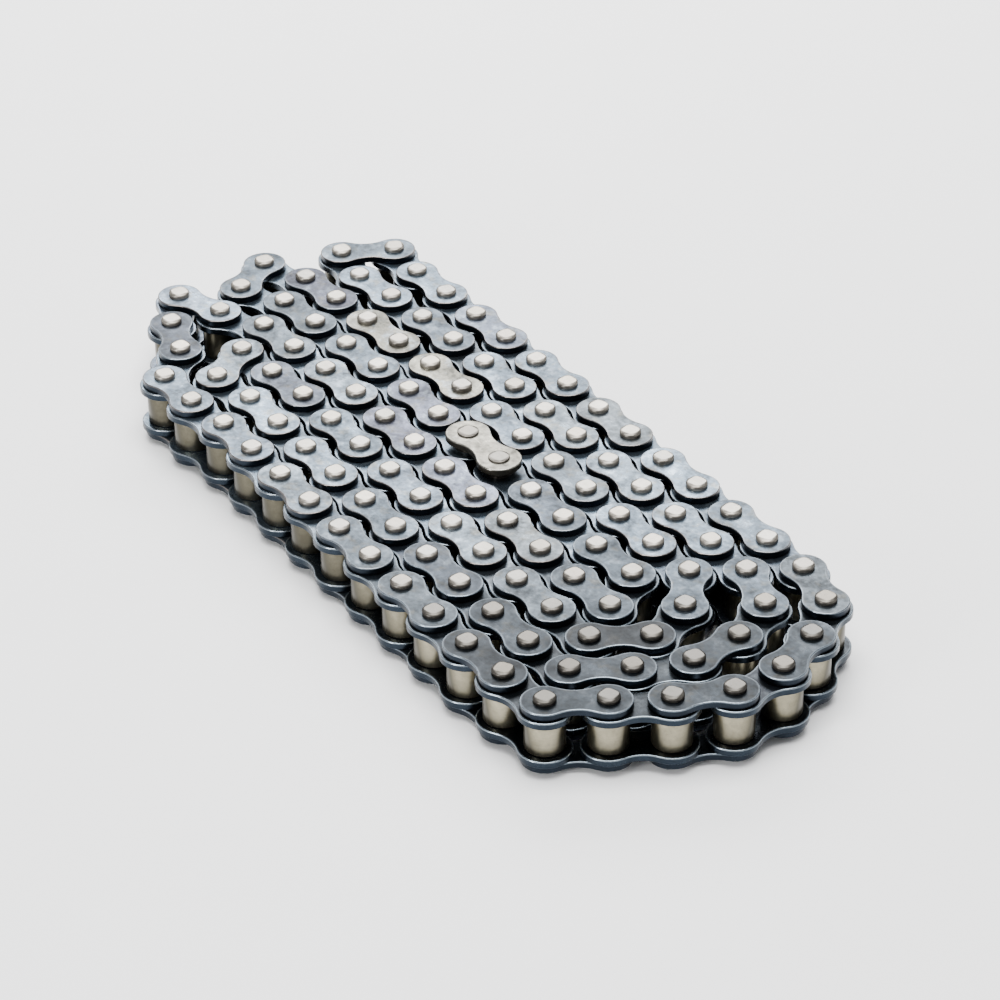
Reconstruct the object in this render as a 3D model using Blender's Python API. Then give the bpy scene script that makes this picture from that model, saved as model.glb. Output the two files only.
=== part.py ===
"""Motorcycle drive chain, standard 12.7 mm pitch, 120 pitches, lying folded in eight rows.

The chain is an endless loop of outer links (two plates on two pressed pins) and inner links (two
plates on two bushes, with a free roller on each bush). The fold is a list of straight rows and of
the link headings in the turns between them. The outer strand of the back row is made of its real
pieces and can swing out at every pin. The rest of the loop lies nested in the fold, where its
neighbours hold it, and each run of links is one solid. Metres, +Z up, pins vertical.
"""
import math

import bmesh
import bpy
import numpy as np

# Driving dimensions of the chain
PITCH = 0.0127
PIN_R = 0.002225
PIN_HEAD_R = 0.0024
BUSH_R = 0.00305
ROLLER_R = 0.004255
INNER_WIDTH = 0.00785
PLATE = 0.0016
PLATE_PLAY = 0.0001
INNER_PLATE_R = 0.00585
INNER_WAIST = 0.0041
OUTER_PLATE_R = 0.00505
OUTER_WAIST = 0.0034
PIN_LENGTH = 0.0167

# Clearances
PRESS_GAP = 0.00005
BORE_R = 0.00238
ROLLER_BORE_R = 0.00319
ROLLER_END_PLAY = 0.000125
LOBE_GAP = 0.00022
HEAD_GAP = 0.00002
STUD_SET_IN = 0.0002

# Connecting link: its plate rides high and a spring clip holds its lower plate
LINK_PIN_TOP = 0.0179
LINK_HEAD = 0.0005
CLIP_LOW, CLIP_HIGH = 0.0003, 0.00105
GROOVE_R = 0.0017
CLIP_EYE_R = 0.0039
CLIP_WAIST = 0.0027
CLIP_SLOT = 0.0021
CLIP_GRIP_R = 0.00185

# Heights of the plates' faces, with the lower pin ends on the ground
MIDDLE = PIN_LENGTH / 2
INNER_LOW = MIDDLE + INNER_WIDTH / 2
INNER_HIGH = INNER_LOW + PLATE
OUTER_LOW = INNER_HIGH + PLATE_PLAY
OUTER_HIGH = OUTER_LOW + PLATE

# The fold, in pitches: rows are numbered from the front, and neighbouring rows nest half a pitch apart
ROW_GAP = 0.82
HALF_STEP = 0.5
FIRST_COLUMN = 0.63
ROW_LEAN = -0.04
MIDDLE_ROW = 4.5
SAG_DEPTH, SAG_START, SAG_LENGTH = 0.45, -2.0, 5.5
SAG_CENTRE, SAG_SPREAD = 1.2, 1.5
# (row, first column, pins, way along X, headings in degrees of the links that lead to the next row)
FOLD = (
    (5, -1, 6, +1, (-48, -171)),
    (4, 4, 10, -1, (-173, -165, -158, -35, -22, -42)),
    (1, -6, 12, +1, (14, 57, 56, 69, 98, 120, 132, 171)),
    (8, 6, 13, -1, (177, -110, -2)),
    (7, -7, 13, +1, (-11, -57, -80, -107, -122, -166)),
    (2, 5, 10, -1, (-172, 128, 5, 5)),
    (3, -4, 9, +1, (7, 57, 118, 145, -175)),
    (6, 4, 10, -1, (-175, -167, -170, -55, 15, 10, 8, 2, 4, 1, 0)),
)

# Links are numbered from the connecting link: even ones are outer links, odd ones inner links
STRAND = range(46, 54)
CORNER = 54
RUNS = {
    "row_5_right_links": (1, 5),
    "row_4_links": (6, 18),
    "row_1_front_links": (19, 32),
    "right_turn_links": (33, 39),
    "row_8_right_links": (40, 45),
    "row_7_links": (55, 67),
    "middle_turn_links": (68, 73),
    "row_2_links": (74, 84),
    "row_3_links": (85, 94),
    "inner_turn_links": (95, 99),
    "row_6_links": (100, 111),
    "row_5_left_links": (112, 119),
}

# Facets
LOBE_STEPS = 6
WAIST_STEPS = 2
ROUND = 10
ROLLER_ROUND = 12
POST_ROUND = 8
LOBE_ANGLE = math.radians(45)
SHARP_SWEEP = math.radians(40)
STRAIGHT_BEND = math.radians(12)
OVERSHOOT = 0.0004
STRIP_WAIST = OUTER_WAIST

FINISHES = {
    "outer_plate": ((0.30, 0.35, 0.41), 0.34, 0.9),
    "inner_plate": ((0.16, 0.20, 0.26), 0.38, 0.9),
    "pin": ((0.62, 0.59, 0.54), 0.30, 0.95),
    "bush": ((0.42, 0.42, 0.42), 0.35, 0.95),
    "roller": ((0.58, 0.54, 0.45), 0.28, 0.95),
    "connecting_plate": ((0.62, 0.60, 0.54), 0.33, 0.9),
    "spring_clip": ((0.50, 0.51, 0.52), 0.25, 0.95),
    "links": ((0.24, 0.29, 0.35), 0.36, 0.9),
}


# ---------------------------------------------------------------- the fold

def row_pins(row, column, count, way):
    """Pins of a straight row; even rows stand half a pitch behind odd ones."""
    shift = FIRST_COLUMN + ROW_LEAN * (row - 1) - HALF_STEP * (row % 2 == 0)
    x = column + shift + way * np.arange(count)
    return np.column_stack([x, np.full(count, (row - MIDDLE_ROW) * ROW_GAP)])


def turn_pins(start, end, headings):
    """Pins of a turn. All its headings get one common turn and one even bend, which land it on end."""
    wanted = np.radians(headings)
    place = np.linspace(-1, 1, len(headings))
    turn_and_bend = np.zeros(2)
    for _ in range(60):
        angle = wanted + turn_and_bend[0] + turn_and_bend[1] * place
        steps = np.column_stack([np.cos(angle), np.sin(angle)])
        across = np.column_stack([-steps[:, 1], steps[:, 0]])
        miss = start + steps.sum(axis=0) - end
        slope = np.column_stack([across.sum(axis=0), (across * place[:, None]).sum(axis=0)])
        turn_and_bend -= 0.7 * np.linalg.lstsq(slope, miss, rcond=None)[0]
    return (start + np.cumsum(steps, axis=0))[:-1]


def sag(pins):
    """Lets the left ends of the middle rows lie nearer to the front, as a hand-folded chain does."""
    left = np.clip((SAG_START - pins[:, 0]) / SAG_LENGTH, 0, None)
    spread = np.exp(-(((pins[:, 1] - SAG_CENTRE) / SAG_SPREAD) ** 2))
    return pins - np.column_stack([np.zeros(len(pins)), SAG_DEPTH * left**2 * spread])


def settle(pins, nearest):
    """Moves the pins as little as possible until each link measures one pitch and no two lobes touch."""
    count = len(pins)
    one, other = np.triu_indices(count, 2)
    loop = ~((one == 0) & (other == count - 1))
    one, other = one[loop], other[loop]
    here = np.arange(count)
    following = (here + 1) % count
    for _ in range(80):
        close = np.hypot(*(pins[other] - pins[one]).T) < nearest
        first = np.concatenate([here, one[close]])
        second = np.concatenate([following, other[close]])
        gap = pins[second] - pins[first]
        length = np.hypot(*gap.T)
        wanted = np.concatenate([np.ones(count), np.full(close.sum(), nearest + 0.003)])
        error = wanted - length
        if not close.any() and abs(error).max() < 1e-12:
            break
        way = gap / length[:, None]
        rows = np.arange(len(first))
        pull = np.zeros((len(first), count, 2))
        pull[rows, first] = -way
        pull[rows, second] = way
        move = np.linalg.lstsq(pull.reshape(len(first), -1), error, rcond=1e-9)[0]
        pins = pins + move.reshape(-1, 2)
    return pins


def folded_pins():
    """All 120 pin centres in metres, from the connecting link on, centred on the object's box."""
    rows = [row_pins(*entry[:4]) for entry in FOLD]
    pieces = []
    for here, (row, entry) in enumerate(zip(rows, FOLD)):
        following = rows[(here + 1) % len(rows)]
        pieces += [row, turn_pins(row[-1], following[0], entry[4])]
    pins = settle(sag(np.vstack(pieces)), (2 * INNER_PLATE_R + LOBE_GAP) / PITCH)
    return (pins - (pins.min(axis=0) + pins.max(axis=0)) / 2) * PITCH


PINS = folded_pins()


def pin(number):
    return PINS[number % len(PINS)]


def heading(link):
    """Direction of a link, from its own pin to the next."""
    along = pin(link + 1) - pin(link)
    return math.atan2(along[1], along[0])


def bend_at(number):
    """Turn of the chain at a pin, positive to the left."""
    return math.remainder(heading(number) - heading(number - 1), 2 * math.pi)


# ---------------------------------------------------------------- solids

def arc(centre, radius, start, end, steps):
    angles = np.linspace(start, end, steps + 1)
    return [(centre[0] + radius * math.cos(a), centre[1] + radius * math.sin(a)) for a in angles]


def circle(centre, radius, sides):
    return arc(centre, radius, 0, 2 * math.pi, sides)[:-1]


def plate_outline(radius, waist):
    """Figure-eight outline: a lobe round each hole, joined by a hollow arc tangent to both lobes."""
    half = PITCH / 2
    hollow = (half**2 + waist**2 - radius**2) / (2 * (radius - waist))
    rise = waist + hollow
    lean = math.atan2(rise, half)
    back = math.pi - lean
    right = arc((PITCH, 0), radius, -back, back, LOBE_STEPS)
    top = arc((half, rise), hollow, -lean, -back, WAIST_STEPS)[1:-1]
    left = arc((0, 0), radius, lean, 2 * math.pi - lean, LOBE_STEPS)
    bottom = arc((half, -rise), hollow, back, lean, WAIST_STEPS)[1:-1]
    return right + top + left + bottom


def prism_into(bm, loops, low, high):
    """Adds a flat plate between two heights; the first loop is its outline, the others are holes."""
    edges = []
    for loop in loops:
        corners = [bm.verts.new((x, y, low)) for x, y in loop]
        edges += [bm.edges.new((a, b)) for a, b in zip(corners, corners[1:] + corners[:1])]
    filled = bmesh.ops.triangle_fill(bm, use_beauty=True, edges=edges)["geom"]
    faces = [g for g in filled if isinstance(g, bmesh.types.BMFace)]
    raised = bmesh.ops.extrude_face_region(bm, geom=faces, use_keep_orig=True)["geom"]
    corners = [g for g in raised if isinstance(g, bmesh.types.BMVert)]
    bmesh.ops.translate(bm, vec=(0, 0, high - low), verts=corners)


def turned_into(bm, profile, sides, centre=(0, 0), ring=False):
    """Adds a turned piece: (radius, height) points from the bottom up, or all round a ring's wall."""
    rings = [[bm.verts.new((x, y, z)) for x, y in circle(centre, r, sides)] for r, z in profile]
    pairs = list(zip(rings, rings[1:] + rings[:1] if ring else rings[1:]))
    for below, above in pairs:
        for k in range(sides):
            after = (k + 1) % sides
            bm.faces.new((below[k], below[after], above[after], above[k]))
    if not ring:
        bm.faces.new(rings[0][::-1])
        bm.faces.new(rings[-1])


def mesh_of(name, build):
    """A closed mesh from a function that adds solids to a bmesh."""
    bm = bmesh.new()
    build(bm)
    bmesh.ops.recalc_face_normals(bm, faces=bm.faces)
    mesh = bpy.data.meshes.new(name)
    bm.to_mesh(mesh)
    bm.free()
    mesh.shade_smooth()
    mesh.set_sharp_from_angle(angle=math.radians(40))
    return mesh


def tube(inner, outer, low, high, sides):
    walls = [(outer, low), (outer, high), (inner, high), (inner, low)]
    return lambda bm: turned_into(bm, walls, sides, ring=True)


def holed_plate(radius, waist, hole, low, high):
    loops = [plate_outline(radius, waist)]
    loops += [circle((x, 0), hole, ROUND) for x in (0, PITCH)]
    return lambda bm: prism_into(bm, loops, low, high)


# ---------------------------------------------------------------- objects

def clear_scene():
    for thing in list(bpy.data.objects):
        bpy.data.objects.remove(thing)


def material(name):
    colour, roughness, metallic = FINISHES[name]
    made = bpy.data.materials.new(name)
    made.use_nodes = True
    shader = made.node_tree.nodes["Principled BSDF"]
    shader.inputs["Base Color"].default_value = (*colour, 1)
    shader.inputs["Roughness"].default_value = roughness
    shader.inputs["Metallic"].default_value = metallic
    return made


def piece(name, mesh, finish, frame=None, x=0.0):
    """A sub-part on its link's frame, x along the link from the frame's pin."""
    thing = bpy.data.objects.new(name, mesh)
    bpy.context.scene.collection.objects.link(thing)
    if not mesh.materials:
        mesh.materials.append(bpy.data.materials.get(finish) or material(finish))
    thing.parent = frame
    thing.location = (x, 0, 0)
    return thing


def link_frame(name, at, direction, parent=None, parent_direction=0.0):
    """An empty on a link's pin axis, with its X along the link."""
    frame = bpy.data.objects.new(name, None)
    bpy.context.scene.collection.objects.link(frame)
    frame.parent = parent
    frame.location = (PITCH, 0, 0) if parent else (at[0], at[1], 0)
    frame.rotation_euler = (0, 0, direction - parent_direction)
    return frame


def boolean(thing, mesh, operation):
    """Joins a mesh to a solid, or cuts it away."""
    tool = bpy.data.objects.new(thing.name + "_" + operation.lower(), mesh)
    bpy.context.scene.collection.objects.link(tool)
    tool.parent = thing
    tool.hide_render = True
    tool.display_type = "WIRE"
    step = thing.modifiers.new(operation.title(), "BOOLEAN")
    step.operation = operation
    step.solver = "EXACT"
    step.object = tool


# ---------------------------------------------------------------- the loose strand

def pin_profile():
    """A rivet pin: the shank, and a peened head just outside each outer plate."""
    low, high = PIN_LENGTH - OUTER_HIGH - HEAD_GAP, OUTER_HIGH + HEAD_GAP
    return [(PIN_HEAD_R, 0), (PIN_HEAD_R, low), (PIN_R, low), (PIN_R, high),
            (PIN_HEAD_R, high), (PIN_HEAD_R, PIN_LENGTH)]


def shared_meshes():
    """The meshes that the strand's links have in common."""
    outer_hole, inner_hole = PIN_R + PRESS_GAP, BUSH_R + PRESS_GAP
    low_of = {"upper": lambda z: (z, z + PLATE),
              "lower": lambda z: (PIN_LENGTH - z - PLATE, PIN_LENGTH - z)}
    meshes = {}
    for side, heights in low_of.items():
        meshes[side + "_outer_plate"] = mesh_of(
            side + "_outer_plate", holed_plate(OUTER_PLATE_R, OUTER_WAIST, outer_hole, *heights(OUTER_LOW)))
        meshes[side + "_inner_plate"] = mesh_of(
            side + "_inner_plate", holed_plate(INNER_PLATE_R, INNER_WAIST, inner_hole, *heights(INNER_LOW)))
    meshes["pin"] = mesh_of("pin", lambda bm: turned_into(bm, pin_profile(), ROUND))
    meshes["bush"] = mesh_of("bush", tube(BORE_R, BUSH_R, PIN_LENGTH - INNER_HIGH, INNER_HIGH, ROUND))
    roller_low = PIN_LENGTH - INNER_LOW + ROLLER_END_PLAY
    roller_high = INNER_LOW - ROLLER_END_PLAY
    meshes["roller"] = mesh_of("roller", tube(ROLLER_BORE_R, ROLLER_R, roller_low, roller_high, ROLLER_ROUND))
    return meshes


def build_strand(meshes):
    """Eight links in their real pieces, each hinged on the pin that it shares with the link before."""
    frame, direction = None, 0.0
    for link in STRAND:
        number = (link - STRAND[0]) // 2 + 1
        outer = link % 2 == 0
        name = f"{'outer' if outer else 'inner'}_link_{number}"
        frame = link_frame(name + "_frame", pin(link), heading(link), frame, direction)
        direction = heading(link)
        kind = "outer_plate" if outer else "inner_plate"
        for side in ("upper", "lower"):
            piece(f"{name}_{side}_plate", meshes[f"{side}_{kind}"], kind, frame)
        for letter, x in (("a", 0.0), ("b", PITCH)):
            for part in ("pin",) if outer else ("bush", "roller"):
                piece(f"{name}_{part}_{letter}", meshes[part], part, frame, x)


def build_corner_link(meshes):
    """The outer link at the back left corner, hinged on its own pin, with the loop open at its far end.

    There the pin is two short studs, one riveted into each plate, so that the strand can leave.
    """
    frame = link_frame("corner_link_frame", pin(CORNER + 1), heading(CORNER) + math.pi)
    for side, low, studs in (("upper", OUTER_LOW, (OUTER_LOW, PIN_LENGTH)),
                             ("lower", PIN_LENGTH - OUTER_HIGH, (0, PIN_LENGTH - OUTER_LOW))):
        outline = [plate_outline(OUTER_PLATE_R, OUTER_WAIST), circle((0, 0), PIN_R + PRESS_GAP, ROUND)]
        plate = piece(f"corner_link_{side}_plate",
                      mesh_of("corner_" + side, lambda bm: prism_into(bm, outline, low, low + PLATE)),
                      "outer_plate", frame)
        ends = (studs[0] + STUD_SET_IN * (side == "upper"), studs[1] - STUD_SET_IN * (side == "lower"))
        stud = mesh_of("stud_" + side,
                       lambda bm: turned_into(bm, [(PIN_HEAD_R, z) for z in ends], ROUND, centre=(PITCH, 0)))
        boolean(plate, stud, "UNION")
    piece("corner_link_pin", meshes["pin"], "pin", frame)


# ---------------------------------------------------------------- the connecting link

def clip_outline():
    """Spring clip: two eyes that grip the pins' grooves, open between two legs at the tail."""
    half_slot = CLIP_SLOT / 2
    grip = math.asin(half_slot / CLIP_GRIP_R)
    nose = arc((0, 0), CLIP_EYE_R, math.radians(50), math.radians(310), LOBE_STEPS)
    tail_low = arc((PITCH, 0), CLIP_EYE_R, math.radians(-130), math.radians(-25), LOBE_STEPS // 2)
    tail_high = [(x, -y) for x, y in reversed(tail_low)]
    back_eye = arc((PITCH, 0), CLIP_GRIP_R, -grip, -math.pi + grip, ROUND // 2)
    front_eye = arc((0, 0), CLIP_GRIP_R, -grip, -2 * math.pi + grip, ROUND)
    slot = back_eye + front_eye + [(x, -y) for x, y in reversed(back_eye)]
    waist_low, waist_high = [(PITCH / 2, -CLIP_WAIST)], [(PITCH / 2, CLIP_WAIST)]
    return nose + waist_low + tail_low + slot + tail_high + waist_high


def build_connecting_link():
    """Plate with two long pins riveted in it, a loose lower plate, and the spring clip that keeps it."""
    frame = link_frame("connecting_link_frame", pin(0), heading(0))
    plate_top = LINK_PIN_TOP - LINK_HEAD
    hole = PIN_R + PRESS_GAP
    piece("connecting_link_plate",
          mesh_of("connecting_plate", holed_plate(OUTER_PLATE_R, OUTER_WAIST, hole,
                                                  plate_top - PLATE, plate_top)),
          "connecting_plate", frame)
    piece("connecting_link_clip_plate",
          mesh_of("clip_plate", holed_plate(OUTER_PLATE_R, OUTER_WAIST, hole,
                                            PIN_LENGTH - OUTER_HIGH, PIN_LENGTH - OUTER_LOW)),
          "connecting_plate", frame)
    groove_low, groove_high = CLIP_LOW - PRESS_GAP, CLIP_HIGH + PRESS_GAP
    profile = [(PIN_R, 0), (PIN_R, groove_low), (GROOVE_R, groove_low), (GROOVE_R, groove_high),
               (PIN_R, groove_high), (PIN_R, plate_top + HEAD_GAP), (PIN_HEAD_R, plate_top + HEAD_GAP),
               (PIN_HEAD_R, LINK_PIN_TOP)]
    pin_mesh = mesh_of("connecting_pin", lambda bm: turned_into(bm, profile, ROUND))
    for letter, x in (("a", 0.0), ("b", PITCH)):
        piece("connecting_link_pin_" + letter, pin_mesh, "pin", frame, x)
    piece("connecting_link_spring_clip",
          mesh_of("spring_clip", lambda bm: prism_into(bm, [clip_outline()], CLIP_LOW, CLIP_HIGH)),
          "spring_clip", frame)


# ---------------------------------------------------------------- the folded runs

def polar(centre, radius, angle):
    return centre[0] + radius * math.cos(angle), centre[1] + radius * math.sin(angle)


def strip_side(first, last, side):
    """One scalloped edge of a run's plates: a lobe at each pin, and a waist in each end or bent link."""
    points = []
    for link in range(first, last + 1):
        if link in (first, last) or max(abs(bend_at(link)), abs(bend_at(link + 1))) > STRAIGHT_BEND:
            middle = (pin(link) + pin(link + 1)) / 2
            points.append(polar(middle, STRIP_WAIST, heading(link) + side * math.pi / 2))
        if link == last:
            break
        start = heading(link) + side * (math.pi / 2 + LOBE_ANGLE)
        bend = bend_at(link + 1)
        sweep = 2 * LOBE_ANGLE - side * bend
        middle_angle = start - side * sweep / 2
        if sweep < SHARP_SWEEP:
            points.append(polar(pin(link + 1), STRIP_WAIST / math.cos(bend / 2), middle_angle))
        else:
            points += [polar(pin(link + 1), INNER_PLATE_R, start - side * sweep * part)
                       for part in (0, 0.5, 1)]
    return points


def strip_outline(first, last):
    """Closed outline of a run of plates, with a round lobe at each end."""
    reach = math.pi / 2 + LOBE_ANGLE
    start = arc(pin(first), INNER_PLATE_R, heading(first) + math.pi / 2 - LOBE_ANGLE,
                heading(first) + 3 * math.pi / 2 + LOBE_ANGLE, 6)
    end = arc(pin(last + 1), INNER_PLATE_R, heading(last) - reach, heading(last) + reach, 6)
    right = strip_side(first, last, -1)
    left = strip_side(first, last, +1)
    return start + right + end + left[::-1]


def run_into(bm, first, last, roller_pins):
    """A run's upper and lower plates with a post for each roller between them, as one closed shell."""
    outline = strip_outline(first, last)
    posts = [circle(pin(number), ROLLER_R, POST_ROUND) for number in roller_pins]

    def ring(loop, height):
        corners = [bm.verts.new((x, y, height)) for x, y in loop]
        edges = [bm.edges.new((a, b)) for a, b in zip(corners, corners[1:] + corners[:1])]
        return corners, edges

    def wall(below, above):
        for k in range(len(below)):
            after = (k + 1) % len(below)
            bm.faces.new((below[k], below[after], above[after], above[k]))

    inner_faces = {}
    for side, outside, inside in (("lower", PIN_LENGTH - OUTER_HIGH, PIN_LENGTH - INNER_LOW),
                                  ("upper", OUTER_HIGH, INNER_LOW)):
        far, far_edges = ring(outline, outside)
        near, near_edges = ring(outline, inside)
        feet = [ring(post, inside) for post in posts]
        wall(far, near)
        bmesh.ops.triangle_fill(bm, use_beauty=True, edges=far_edges)
        bmesh.ops.triangle_fill(bm, use_beauty=True, edges=near_edges + [e for _, es in feet for e in es])
        inner_faces[side] = [corners for corners, _ in feet]
    for below, above in zip(inner_faces["lower"], inner_faces["upper"]):
        wall(below, above)


def build_run(name, first, last):
    """A run of nested links in one solid, with a real bush or pin at each end for the next run."""
    ends = ((first, first % 2), (last + 1, last % 2))
    pin_ends = [number for number, inner in ends if not inner]
    bush_ends = [number for number, inner in ends if inner]
    roller_pins = [number for number in range(first, last + 2) if number not in pin_ends]
    reach = PITCH - OUTER_PLATE_R

    def steps(bm):
        """Room at each end for the next run's plates, outside of an inner link or inside of an outer one."""
        for number in bush_ends:
            for low, high in ((0, PIN_LENGTH - INNER_HIGH), (INNER_HIGH, PIN_LENGTH)):
                turned_into(bm, [(reach, low), (reach, high)], ROLLER_ROUND, centre=pin(number))
        for number in pin_ends:
            heights = (PIN_LENGTH - OUTER_LOW, OUTER_LOW)
            turned_into(bm, [(reach, z) for z in heights], ROLLER_ROUND, centre=pin(number))

    def columns(numbers, radius, low, high):
        def add(bm):
            for number in numbers:
                turned_into(bm, [(radius, low), (radius, high)], ROUND, centre=pin(number))
        return add

    run = piece(name, mesh_of(name, lambda bm: run_into(bm, first, last, roller_pins)), "links")
    run.data.shade_flat()
    boolean(run, mesh_of(name + "_steps", steps), "DIFFERENCE")
    if pin_ends:
        boolean(run, mesh_of(name + "_pins", columns(pin_ends, PIN_R, 0, PIN_LENGTH)), "UNION")
    if bush_ends:
        bores = columns(bush_ends, BORE_R, -OVERSHOOT, PIN_LENGTH + OVERSHOOT)
        boolean(run, mesh_of(name + "_bores", bores), "DIFFERENCE")


def build():
    clear_scene()
    meshes = shared_meshes()
    build_strand(meshes)
    build_corner_link(meshes)
    build_connecting_link()
    for name, (first, last) in RUNS.items():
        build_run(name, first, last)


build()
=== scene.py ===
"""Looks of a motorcycle drive chain: 120 pitches of 12.7 mm in an endless loop, lying folded in eight rows.

Every plate, pin, bush and roller of the loop is its own shape. Metres, +Z up, pins vertical.
"""

import math

import bpy
import numpy as np
from mathutils import Matrix


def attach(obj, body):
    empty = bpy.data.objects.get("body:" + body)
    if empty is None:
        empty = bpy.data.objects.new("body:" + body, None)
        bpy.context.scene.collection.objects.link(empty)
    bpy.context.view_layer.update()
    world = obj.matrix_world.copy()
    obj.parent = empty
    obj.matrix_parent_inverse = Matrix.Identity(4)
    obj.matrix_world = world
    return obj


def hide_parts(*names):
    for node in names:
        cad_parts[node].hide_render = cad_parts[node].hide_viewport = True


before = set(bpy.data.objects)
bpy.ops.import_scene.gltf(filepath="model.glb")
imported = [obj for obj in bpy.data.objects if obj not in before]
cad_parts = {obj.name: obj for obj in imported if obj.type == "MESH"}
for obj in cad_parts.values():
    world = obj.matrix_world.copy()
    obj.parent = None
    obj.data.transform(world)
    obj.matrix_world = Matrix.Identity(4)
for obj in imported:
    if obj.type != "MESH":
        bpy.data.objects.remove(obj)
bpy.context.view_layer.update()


# ---------------------------------------------------------------- the fold
# The chain lies on its side in eight nested rows. Straight rows stand half a pitch apart, and the
# links of each turn bend round to the next row. The same rule placed the links of the CAD model.

PITCH = 0.0127
INNER_PLATE_R = 0.00585
LOBE_GAP = 0.00022
ROW_GAP = 0.82
HALF_STEP = 0.5
FIRST_COLUMN = 0.63
ROW_LEAN = -0.04
MIDDLE_ROW = 4.5
SAG_DEPTH, SAG_START, SAG_LENGTH = 0.45, -2.0, 5.5
SAG_CENTRE, SAG_SPREAD = 1.2, 1.5
LOBE_SPARE = 0.003  # in pitches, past the nearest that two lobes may come
TURN_STEPS, SETTLE_STEPS = 60, 80
# (row, first column, pins, way along X, headings in degrees of the links that lead to the next row)
FOLD = (
    (5, -1, 6, +1, (-48, -171)),
    (4, 4, 10, -1, (-173, -165, -158, -35, -22, -42)),
    (1, -6, 12, +1, (14, 57, 56, 69, 98, 120, 132, 171)),
    (8, 6, 13, -1, (177, -110, -2)),
    (7, -7, 13, +1, (-11, -57, -80, -107, -122, -166)),
    (2, 5, 10, -1, (-172, 128, 5, 5)),
    (3, -4, 9, +1, (7, 57, 118, 145, -175)),
    (6, 4, 10, -1, (-175, -167, -170, -55, 15, 10, 8, 2, 4, 1, 0)),
)


def row_pins(row, column, count, way):
    """Pins of a straight row; even rows stand half a pitch behind odd ones."""
    shift = FIRST_COLUMN + ROW_LEAN * (row - 1) - HALF_STEP * (row % 2 == 0)
    x = column + shift + way * np.arange(count)
    return np.column_stack([x, np.full(count, (row - MIDDLE_ROW) * ROW_GAP)])


def turn_pins(start, end, headings):
    """Pins of a turn. All its headings get one common turn and one even bend, which land it on end."""
    wanted = np.radians(headings)
    place = np.linspace(-1, 1, len(headings))
    turn_and_bend = np.zeros(2)
    for _ in range(TURN_STEPS):
        angle = wanted + turn_and_bend[0] + turn_and_bend[1] * place
        steps = np.column_stack([np.cos(angle), np.sin(angle)])
        across = np.column_stack([-steps[:, 1], steps[:, 0]])
        miss = start + steps.sum(axis=0) - end
        slope = np.column_stack([across.sum(axis=0), (across * place[:, None]).sum(axis=0)])
        turn_and_bend -= 0.7 * np.linalg.lstsq(slope, miss, rcond=None)[0]
    return (start + np.cumsum(steps, axis=0))[:-1]


def sag(pins):
    """Lets the left ends of the middle rows lie nearer to the front, as a hand-folded chain does."""
    left = np.clip((SAG_START - pins[:, 0]) / SAG_LENGTH, 0, None)
    spread = np.exp(-(((pins[:, 1] - SAG_CENTRE) / SAG_SPREAD) ** 2))
    return pins - np.column_stack([np.zeros(len(pins)), SAG_DEPTH * left**2 * spread])


def settle(pins, nearest):
    """Moves the pins as little as possible until each link measures one pitch and no two lobes touch."""
    count = len(pins)
    one, other = np.triu_indices(count, 2)
    loop = ~((one == 0) & (other == count - 1))
    one, other = one[loop], other[loop]
    here = np.arange(count)
    following = (here + 1) % count
    for _ in range(SETTLE_STEPS):
        close = np.hypot(*(pins[other] - pins[one]).T) < nearest
        first = np.concatenate([here, one[close]])
        second = np.concatenate([following, other[close]])
        gap = pins[second] - pins[first]
        length = np.hypot(*gap.T)
        wanted = np.concatenate([np.ones(count), np.full(close.sum(), nearest + LOBE_SPARE)])
        error = wanted - length
        if not close.any() and abs(error).max() < 1e-12:
            break
        way = gap / length[:, None]
        rows = np.arange(len(first))
        pull = np.zeros((len(first), count, 2))
        pull[rows, first] = -way
        pull[rows, second] = way
        move = np.linalg.lstsq(pull.reshape(len(first), -1), error, rcond=1e-9)[0]
        pins = pins + move.reshape(-1, 2)
    return pins


rows = [row_pins(*entry[:4]) for entry in FOLD]
loop = []
for here, (row, entry) in enumerate(zip(rows, FOLD)):
    loop += [row, turn_pins(row[-1], rows[(here + 1) % len(rows)][0], entry[4])]
PINS = settle(sag(np.vstack(loop)), (2 * INNER_PLATE_R + LOBE_GAP) / PITCH)
PINS = (PINS - (PINS.min(axis=0) + PINS.max(axis=0)) / 2) * PITCH
ALONG = np.roll(PINS, -1, axis=0) - PINS
HEADING = np.arctan2(ALONG[:, 1], ALONG[:, 0])


# ---------------------------------------------------------------- how the links are grouped
# Links are numbered from the connecting link: even ones are outer links, odd ones inner links. The
# nested runs of the loop ride on one body, and each link of the loose strand on its own.

RUNS = {
    "row_5_right": (1, 5),
    "row_4": (6, 18),
    "row_1_front": (19, 32),
    "right_turn": (33, 39),
    "row_8_right": (40, 45),
    "row_7": (55, 67),
    "middle_turn": (68, 73),
    "row_2": (74, 84),
    "row_3": (85, 94),
    "inner_turn": (95, 99),
    "row_6": (100, 111),
    "row_5_left": (112, 119),
}
RUN_LINKS = {name: np.arange(first, last + 1) for name, (first, last) in RUNS.items()}
OUTER_STRAND = {f"outer_link_{n}": 44 + 2 * n for n in range(1, 5)}
INNER_STRAND = {f"inner_link_{n}": 45 + 2 * n for n in range(1, 5)}
CONNECTING, CORNER = 0, 54

# Heights of the plates' faces
PLATE = 0.0016
PIN_LENGTH = 0.0167
INNER_LOW = 0.012275
OUTER_LOW = 0.013975


def below(low):
    """The same plate on the chain's lower side: its lower face, mirrored at half the pin length."""
    return PIN_LENGTH - low - PLATE


# Each link's own tint: tone_and_shade multiplies its colour, warmth runs from purple grey through blue to
# cream.
# Painted shade darkens the links most at the end of the fold that lies nearest to the viewer.
CAMERA_AZIMUTH = math.radians(57.80)
DARK_FROM, DARK_TO, DARKEST = 0.016, 0.068, 0.13


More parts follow.
